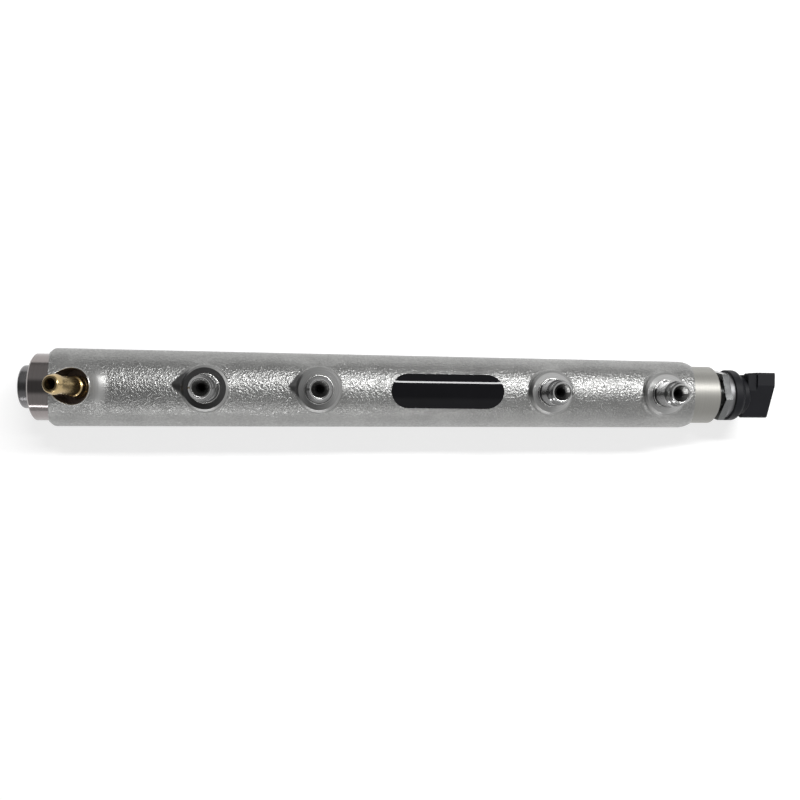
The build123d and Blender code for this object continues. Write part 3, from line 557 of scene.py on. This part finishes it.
dark_steel = turned_finish("dark_steel", (0.21, 0.205, 0.21), 0.27)
hex_steel = turned_finish("hex_steel", (0.235, 0.24, 0.24), 0.19)
collar_steel = turned_finish("collar_steel", (0.27, 0.27, 0.275), 0.5)
brass = turned_finish("brass", (0.49, 0.37, 0.195), 0.28, in_pocket=True)
hard_steel = turned_finish("hard_steel", (0.5, 0.5, 0.5), 0.22)
spring_steel = turned_finish("spring_steel", (0.35, 0.35, 0.36), 0.3)
tinned_brass = turned_finish("tinned_brass", (0.72, 0.71, 0.66), 0.3)
bright_steel = turned_finish("bright_steel", (0.29, 0.29, 0.29), 0.12, depth=FINE_DEPTH)
# Pale steel for rounded edges: partly the edges' own bright metal, partly a painted highlight.
rounded_edge_and_sheen = turned_finish("rounded_edge_and_sheen", (0.55, 0.55, 0.54), 0.28, depth=FINE_DEPTH)

# %% [markdown]
# ## Plastic, rubber and the label
# Moulded parts are not mirrors: they take a fine grain from the mould and a tone that wanders a
# little. The label is a black film under a clear gloss layer, so its reflection is narrow and hard.
# Both come from one function, because a film is only a smoother grain under a coat.

# %% Moulded finishes
COAT_ROUGH = 0.03


def moulded_finish(name, shade, rough, fineness=3.0, depth=0.02, coat=0.0, shine=0.5):
    """Plastic or rubber with mould grain, and a clear coat if asked for."""
    finish, tree, shader, spot, _ = open_finish(name)
    grain = group(tree, moulded_grain, Place=spot, Fineness=fineness)
    feed(tree, shader.inputs["Base Color"], toned(tree, shade, grain["Tone"]))
    feed(tree, shader.inputs["Roughness"], reckon(tree, "MULTIPLY", grain["Tone"], rough))
    shader.inputs["Coat Weight"].default_value = coat
    shader.inputs["Coat Roughness"].default_value = COAT_ROUGH
    shader.inputs["Specular IOR Level"].default_value = shine
    raise_surface(tree, shader, reckon(tree, "MULTIPLY", grain["Height"], depth))
    return finish


black_plastic = moulded_finish("black_plastic", (0.006, 0.0063, 0.0085), 0.52, shine=0.22)
label_film = moulded_finish(
    "label_film", (0.0035, 0.0035, 0.0045), 0.1, fineness=1.2, depth=0.001, coat=0.5, shine=0.0
)
rubber = moulded_finish("rubber", (0.02, 0.02, 0.02), 0.6)
inner_plastic = moulded_finish("inner_plastic", (0.72, 0.7, 0.62), 0.5)
board_green = moulded_finish("board_green", (0.05, 0.2, 0.1), 0.4)

# %% [markdown]
# ## Dressing the solids
# Each solid keeps its mesh and its place, and only its material slot is filled anew, so the dressed
# rail stays true to the drawing.

# %% Give every solid its finish
FINISHES = {
    "rail_body": forged_rail, "type_label": label_film, "return_nipple": brass,
    "valve_body": dark_steel, "valve_seat": hard_steel, "valve_piston": hard_steel,
    "lift_stop": hard_steel, "valve_shim": hard_steel, "valve_spring": spring_steel,
    "valve_o_ring": rubber, "sensor_seal": rubber, "sensor_body": hex_steel,
    "measuring_cell": hard_steel, "board_carrier": inner_plastic, "circuit_board": board_green,
    "connector_housing": black_plastic, "terminal_supply": tinned_brass,
    "terminal_signal": tinned_brass, "terminal_ground": tinned_brass,
}
for name, finish in FINISHES.items():
    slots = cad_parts[name].data.materials
    slots.clear()
    slots.append(finish)
print("solids with a finish:", len(FINISHES), "of", len(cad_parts))

# %% [markdown]
# ## Surfaces from two parameters
# What the solids leave out is worked out here as whole arrays: a function gives x, y and z over a grid
# of two parameters, and one helper turns the grid into a mesh. Modelling by hand would be quicker for
# one piece, but a formula gives every outlet the same shape in its own place. A grid that goes all the
# way round joins its last column or row to its first, so no seam shows.

# %% From a grid to a piece
WELD = 1e-6


def grid_mesh(name, points, wrap, close):
    """Mesh from points (rows, columns, 3) in mm; wrap joins last and first column, close the rows."""
    rows, columns = points.shape[:2]
    index = np.arange(rows * columns).reshape(rows, columns)
    right = np.roll(index, -1, axis=1)
    quads = np.stack([index, right, np.roll(right, -1, axis=0), np.roll(index, -1, axis=0)], axis=-1)
    quads = quads[:rows if close else -1, :columns if wrap else -1].reshape(-1, 4)
    mesh = bpy.data.meshes.new(name)
    mesh.from_pydata(points.reshape(-1, 3) * MM, [], quads)
    mesh.polygons.foreach_set("use_smooth", np.ones(len(quads), bool))
    mesh.update()
    return mesh


def grid_piece(name, points, finish, wrap=False, close=False):
    """A grid of points in mm as a piece that rides on the rail, with its finish and slot."""
    mesh = grid_mesh(name, points, wrap, close)
    mesh.materials.append(finish)
    piece = bpy.data.objects.new(name, mesh)
    bpy.context.scene.collection.objects.link(piece)
    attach(piece, "rail")
    print(name, "faces:", len(mesh.polygons))
    return piece


def merge_points(mesh):
    """Joins the points of a mesh that lie in one place, such as those of a grid's row with no radius."""
    work = bmesh.new()
    work.from_mesh(mesh)
    bmesh.ops.remove_doubles(work, verts=work.verts, dist=WELD)
    work.to_mesh(mesh)
    work.free()


def full_turn(steps):
    """Angles of so many even steps once round."""
    return 2 * np.pi * np.arange(steps) / steps


print("helpers: grid_mesh, grid_piece, merge_points, full_turn")

# %% [markdown]
# ## Threads on the stubs
# The pipes' union nuts screw on a fine thread. The solid has a plain cylinder at the thread's root. A
# cutter swept along a helix would be heavy, so the ridge is a height instead: it repeats once per
# pitch along the stub, moves up by one pitch per turn, and fades out at both ends as a rolled thread
# does.

# %% Outlet threads
THREAD_LOW, THREAD_HIGH = SPOT_Z + 0.95, SPOT_Z + 12.3
THREAD_ROOT_R, THREAD_CREST_R = 6.8, 6.98
THREAD_PITCH = 1.5
RIDGE_LEVEL, RIDGE_SWING = 1.3, 1.45


def thread_ridge(centre, around=96, per_pitch=12):
    """Radius = root + (crest - root) * ridge(z / pitch - turn): flat crests, narrow roots, faded ends."""
    rows = int(round((THREAD_HIGH - THREAD_LOW) / THREAD_PITCH * per_pitch)) + 1
    z, turn = np.meshgrid(np.linspace(THREAD_LOW, THREAD_HIGH, rows), full_turn(around), indexing="ij")
    pitches = (z - THREAD_LOW) / THREAD_PITCH
    pitches_left = (THREAD_HIGH - z) / THREAD_PITCH
    ridge = np.clip(RIDGE_LEVEL + RIDGE_SWING * np.cos(2 * np.pi * pitches - turn), 0, 1)
    fade = np.clip(pitches, 0, 1) * np.clip(pitches_left, 0, 1)
    radius = THREAD_ROOT_R + (THREAD_CREST_R - THREAD_ROOT_R) * ridge * fade
    return np.stack([centre + radius * np.cos(turn), radius * np.sin(turn), z], axis=-1)


for number, port in enumerate(PORTS, 1):
    grid_piece(f"outlet_thread_{number}", thread_ridge(port), bright_steel, wrap=True)

# %% [markdown]
# The foot of each stub is a thin collar, and its edge was broken by hand, which shows as a thin bright
# arc. A bevel would change the solid, so a ring with a round section, half sunk in the collar's edge,
# gives that arc, and the ring's pale colour adds a painted highlight to it.

# %% Collar edges
EDGE_Z = SPOT_Z + 0.7
EDGE_R = COLLAR_R - 0.25
EDGE_THICK = 0.3


def ring_bead(centre, around=96, section=10):
    """(radius + thick * cos q) round the stub at z + thick * sin q, with q once round the section."""
    q, turn = np.meshgrid(full_turn(section), full_turn(around), indexing="ij")
    out = EDGE_R + EDGE_THICK * np.cos(q)
    z = EDGE_Z + EDGE_THICK * np.sin(q)
    return np.stack([centre + out * np.cos(turn), out * np.sin(turn), z], axis=-1)


for number, port in enumerate(PORTS, 1):
    grid_piece(f"collar_edge_{number}", ring_bead(port), rounded_edge_and_sheen, wrap=True, close=True)

# %% [markdown]
# ## Ramps as surfaces
# The ramps beside the bosses are low, but they are real shapes, so they are made as surfaces too. Each
# is a fan: every point of the boss's circle between the two touching lines is carried to the tip, and
# the fan is lifted off the forging most at the boss's middle and not at all along its edges. It takes
# the forging's own finish, whose masks know the ramps.

# %% Boss ramps
BODY_LEFT_R = 20.95
BODY_LEFT_X = -173.6
BODY_TAPER = 1.7 / 347.2
RAMP_HIGH = 0.65
RAMP_SINK = 0.03


def body_radius(x):
    """Radius of the forging, which narrows evenly from left to right."""
    return BODY_LEFT_R - BODY_TAPER * (x - BODY_LEFT_X)


def boss_ramp(port, side, rows=16, columns=25):
    """Circle point * (1 - u) + tip * u, at the body's height + RAMP_HIGH * (1 - u) * cos(v)^2."""
    tip = RAMP_POINT - RAMP_SHORTER * port
    half = math.acos(BOSS_R / tip)
    u, v = np.meshgrid(np.linspace(0, 1, rows), -side * np.linspace(-1, 1, columns), indexing="ij")
    x = port + side * ((1 - u) * BOSS_R * np.cos(half * v) + u * tip)
    y = (1 - u) * BOSS_R * np.sin(half * v) + u * RAMP_BEHIND
    lift = RAMP_HIGH * (1 - u) * np.cos(0.5 * np.pi * v) ** 2 - RAMP_SINK
    return np.stack([x, y, AXIS_Z + np.sqrt(body_radius(x) ** 2 - y**2) + lift], axis=-1)


for number, port in enumerate(PORTS, 1):
    for side, word in ((-1, "left"), (1, "right")):
        grid_piece(f"boss_ramp_{number}_{word}", boss_ramp(port, side), forged_rail)

# %% [markdown]
# ## Rim of the pocket
# The nipple's pocket breaks through a round surface, so its edge is a saddle-shaped curve. The cutter
# left it rounded, which shows as a thin light line. For each angle about the pocket's axis, the point
# where the pocket's wall leaves the forging comes from a quadratic, and a thin bead follows it. The
# bead's pale colour adds a painted highlight to that line.

# %% Pocket rim
RIM_THICK = 0.38
POCKET_ALONG = np.array([-TILT_SIN * LEAN_COS, LEAN_SIN, TILT_COS * LEAN_COS])
POCKET_FLAT = np.array([TILT_COS, 0.0, TILT_SIN])
POCKET_CROSS = np.array([LEAN_SIN * TILT_SIN, LEAN_COS, -LEAN_SIN * TILT_COS])


def pocket_edge(turn):
    """Wall point + s * axis with s from |(y, z)| = body radius at that x, and the outward direction."""
    outward = np.cos(turn)[..., None] * POCKET_FLAT + np.sin(turn)[..., None] * POCKET_CROSS
    wall = np.array([POCKET_X, 0.0, POCKET_Z - AXIS_Z]) + POCKET_R * outward
    a = POCKET_ALONG[1] ** 2 + POCKET_ALONG[2] ** 2
    b = wall[..., 1] * POCKET_ALONG[1] + wall[..., 2] * POCKET_ALONG[2]
    c = wall[..., 1] ** 2 + wall[..., 2] ** 2 - body_radius(wall[..., 0]) ** 2
    edge = wall + ((np.sqrt(b * b - a * c) - b) / a)[..., None] * POCKET_ALONG
    return edge + np.array([0.0, 0.0, AXIS_Z]), outward


def edge_bead(thick, around=160, section=10):
    """Edge point + thick * (cos q * outward + sin q * axis), with q once round the bead."""
    q, turn = np.meshgrid(full_turn(section), full_turn(around), indexing="ij")
    edge, outward = pocket_edge(turn)
    return edge + thick * (np.cos(q)[..., None] * outward + np.sin(q)[..., None] * POCKET_ALONG)


grid_piece("pocket_rim", edge_bead(RIM_THICK), rounded_edge_and_sheen, wrap=True, close=True)

# %% [markdown]
# ## The sensor's head
# The spanner's flats take up only the middle of the sensor's head. On the left the head was turned to
# a washer face, which leaves a dark gap beside the neck, and on the right to a round collar under the
# plastic. Cutting a hexagon with boolean tools leaves ragged edges, so the radius at each place is the
# smaller of two: that of the turned shape and that of the hexagon in the same direction. The collar is
# a ring of its own, because it was left brighter.

# %% Turned hexagon
HEX_FLATS = 27.0
HEX_TURN = math.radians(40)
HEX_ROOM = 20.0
HEX_SIDE = math.pi / 3
HEAD_X, HEX_LEFT, HEX_RIGHT = 195.9, 197.0, 200.9
SHANK_R, WASHER_R = 8.5, 9.6
SHARP_FROM = math.radians(30)


def turned_shape(profile, flats=None, around=180):
    """(x, radius) points carried round; radius = min(turned, flats / 2 / cos(angle to the flat))."""
    x, radius = np.array(profile).T[..., None]
    turn = full_turn(around)
    if flats:
        radius = np.minimum(radius, flats / 2 / np.cos(turn % HEX_SIDE - HEX_SIDE / 2))
    y = radius * np.cos(HEX_TURN + turn)
    z = AXIS_Z + radius * np.sin(HEX_TURN + turn)
    return np.stack(np.broadcast_arrays(x, y, z), axis=-1)


head_low, head_high = (corner[0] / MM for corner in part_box("sensor_body"))
head_profile = [
    (head_low, 0.0), (head_low, SHANK_R), (HEAD_X, SHANK_R), (HEAD_X, WASHER_R), (HEX_LEFT, WASHER_R),
    (HEX_LEFT, HEX_ROOM), (HEX_RIGHT, HEX_ROOM), (HEX_RIGHT, SHANK_R), (head_high, SHANK_R),
    (head_high, 0.0),
]
head_points = turned_shape(head_profile, HEX_FLATS)
hexagon = grid_piece("sensor_hexagon", head_points, hex_steel, wrap=True)
merge_points(hexagon.data)
hexagon.data.set_sharp_from_angle(angle=SHARP_FROM)
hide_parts("sensor_body")

# %% Collar under the plastic
HEAD_COLLAR_R = 13.2
HEAD_COLLAR_LEFT, HEAD_COLLAR_RIGHT = HEX_RIGHT - 0.1, 203.75
COLLAR_BEVEL = 0.3

collar_profile = [
    (HEAD_COLLAR_LEFT, SHANK_R), (HEAD_COLLAR_LEFT, HEAD_COLLAR_R - COLLAR_BEVEL),
    (HEAD_COLLAR_LEFT + COLLAR_BEVEL, HEAD_COLLAR_R), (HEAD_COLLAR_RIGHT, HEAD_COLLAR_R),
    (HEAD_COLLAR_RIGHT, SHANK_R),
]
collar = grid_piece("sensor_collar", turned_shape(collar_profile), collar_steel, wrap=True)
collar.data.set_sharp_from_angle(angle=SHARP_FROM)

# %% [markdown]
# ## The valve's spring
# Inside the valve, the spring gets shorter when the piston lifts. The solid spring is rigid, and this
# one takes its place: a wire with rounded corners, carried along a helix. Its size comes from the
# solid's own box.

# %% Valve spring
SPRING_TURNS = 4
WIRE_ROOM = 0.5
WIRE_HALF = 0.49


def rounded(wave):
    """Root of a sine or cosine with its sign kept: the two draw a square with rounded corners."""
    return np.sign(wave) * np.sqrt(np.abs(wave))


def spring_wire(low, high, coil, along=260, section=16):
    """Helix x = low..high, radius coil, carrying a rounded square; both ends close to a point."""
    step = np.concatenate([[0.0], np.linspace(0, 1, along), [1.0]])
    size = np.concatenate([[0.0], np.full(along, WIRE_HALF), [0.0]])[:, None]
    t, q = np.meshgrid(step, full_turn(section), indexing="ij")
    x = low + (high - low) * t + size * rounded(np.cos(q))
    radius = coil + size * rounded(np.sin(q))
    turn = 2 * np.pi * SPRING_TURNS * t
    return np.stack([x, radius * np.cos(turn), AXIS_Z + radius * np.sin(turn)], axis=-1)


spring_low, spring_high = (np.array(corner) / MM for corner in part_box("valve_spring"))
coil_radius = (spring_high[1] - spring_low[1]) / 2 - WIRE_ROOM
points = spring_wire(spring_low[0] + WIRE_ROOM, spring_high[0] - WIRE_ROOM, coil_radius)
spring = grid_piece("spring_coil", points, spring_steel, wrap=True)
merge_points(spring.data)
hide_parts("valve_spring")
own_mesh(spring)

# %% [markdown]
# ## Floor, lamps and surroundings
# The rail lies on a white sheet. Bare metal shows what is around it, so the surroundings matter as
# much as the lamps. Two long narrow lamps in a row, high behind the rail, make the sparkling band and
# the hard line on the label, and a low one in front makes the bright bars on the turned parts. The
# room above is dark on the left and paler on the right, as the spot faces show. The sheet's white
# comes from a glow that only the camera and mirrors see, so it adds no light to the rail.

# %% Floor
FLOOR_HALF = 8000.0
FLOOR_Z = -0.3
SHEET_SHADE = (0.43, 0.43, 0.43, 1.0)
SHEET_ROUGH = 0.9
NO_GLOW, SHEET_GLOW = (0.0, 0.0, 0.0, 1.0), (0.66, 0.66, 0.66, 1.0)

floor_reach = [-FLOOR_HALF, FLOOR_HALF]
floor_points = np.stack(np.meshgrid(floor_reach, floor_reach, [FLOOR_Z], indexing="ij"), axis=-1)
floor_mesh = bpy.data.meshes.new("floor")
floor_mesh.from_pydata(floor_points.reshape(-1, 3) * MM, [], [(0, 2, 3, 1)])
floor_finish = bpy.data.materials.new("white_sheet")
floor_finish.use_nodes = True
tree = floor_finish.node_tree
shader = tree.nodes["Principled BSDF"]
shader.inputs["Base Color"].default_value = SHEET_SHADE
shader.inputs["Roughness"].default_value = SHEET_ROUGH
shader.inputs["Specular IOR Level"].default_value = 0.0
path = place(tree, "ShaderNodeLightPath").outputs
seen = any_of(tree, path["Is Glossy Ray"], path["Is Transmission Ray"], path["Is Camera Ray"])
feed(tree, shader.inputs["Emission Color"], blend(tree, seen, NO_GLOW, SHEET_GLOW))
shader.inputs["Emission Strength"].default_value = 1.0
floor_mesh.materials.append(floor_finish)
floor = bpy.data.objects.new("floor", floor_mesh)
bpy.context.scene.collection.objects.link(floor)
print("floor:", floor.name)

# %% Lamps
def strip_lamp(name, middle, lean, long, wide, radiance):
    """Area lamp along x that looks back at the rail; lean is from straight down, in degrees."""
    lamp = bpy.data.lights.new(name, "AREA")
    lamp.shape = "RECTANGLE"
    lamp.size = long
    lamp.size_y = wide
    lamp.energy = radiance * math.pi * long * wide
    holder = bpy.data.objects.new(name, lamp)
    holder.matrix_world = Matrix.Translation(middle) @ Matrix.Rotation(math.radians(lean), 4, "X")
    holder.visible_camera = False
    bpy.context.scene.collection.objects.link(holder)
    print(name, "power in W:", round(lamp.energy, 2))


strip_lamp("long_lamp_left", (0.065, 0.371, 0.708), lean=-28.5, long=0.43, wide=0.065, radiance=37.0)
strip_lamp("long_lamp_right", (0.45, 0.371, 0.708), lean=-28.5, long=0.34, wide=0.065, radiance=58.0)
strip_lamp("low_lamp", (-0.25, -0.966, 0.377), lean=70.5, long=1.1, wide=0.05, radiance=12.0)

# %% Surroundings
CEILING_LEFT, CEILING_MIDDLE, CEILING_RIGHT = 0.10, 0.30, 0.60
FRONT_LEFT, FRONT_RIGHT, BACK = 0.42, 0.58, 0.34
WALL_FRONT, WALL_BACK, WALL_LEFT = 0.55, 0.25, 0.10

world = bpy.data.worlds.new("room")
world.use_nodes = True
tree = world.node_tree
look = place(tree, "ShaderNodeTexCoord").outputs["Generated"]
way = place(tree, "ShaderNodeSeparateXYZ", [(0, look)]).outputs
rightward = between(tree, way["X"], -0.35, 0.55)
far_right = between(tree, way["X"], 0.22, 0.40)
far_left = between(tree, way["X"], -0.35, -0.8)
backward = between(tree, way["Y"], -0.3, 0.3)
sideways = between(tree, reckon(tree, "ABSOLUTE", way["Y"]), 0.25, 0.5)
downward = between(tree, way["Z"], 0.30, 0.05)
ceiling = blend(tree, rightward, CEILING_LEFT, CEILING_MIDDLE, "FLOAT")
ceiling = blend(tree, far_right, ceiling, CEILING_RIGHT, "FLOAT")
front = blend(tree, rightward, FRONT_LEFT, FRONT_RIGHT, "FLOAT")
side_level = blend(tree, backward, front, BACK, "FLOAT")
wall = blend(tree, backward, WALL_FRONT, WALL_BACK, "FLOAT")
wall = blend(tree, far_left, wall, WALL_LEFT, "FLOAT")
level = blend(tree, sideways, ceiling, side_level, "FLOAT")
level = blend(tree, downward, level, wall, "FLOAT")
feed(tree, tree.nodes["Background"].inputs["Color"], level)
bpy.context.scene.world = world
print("room:", world.name)
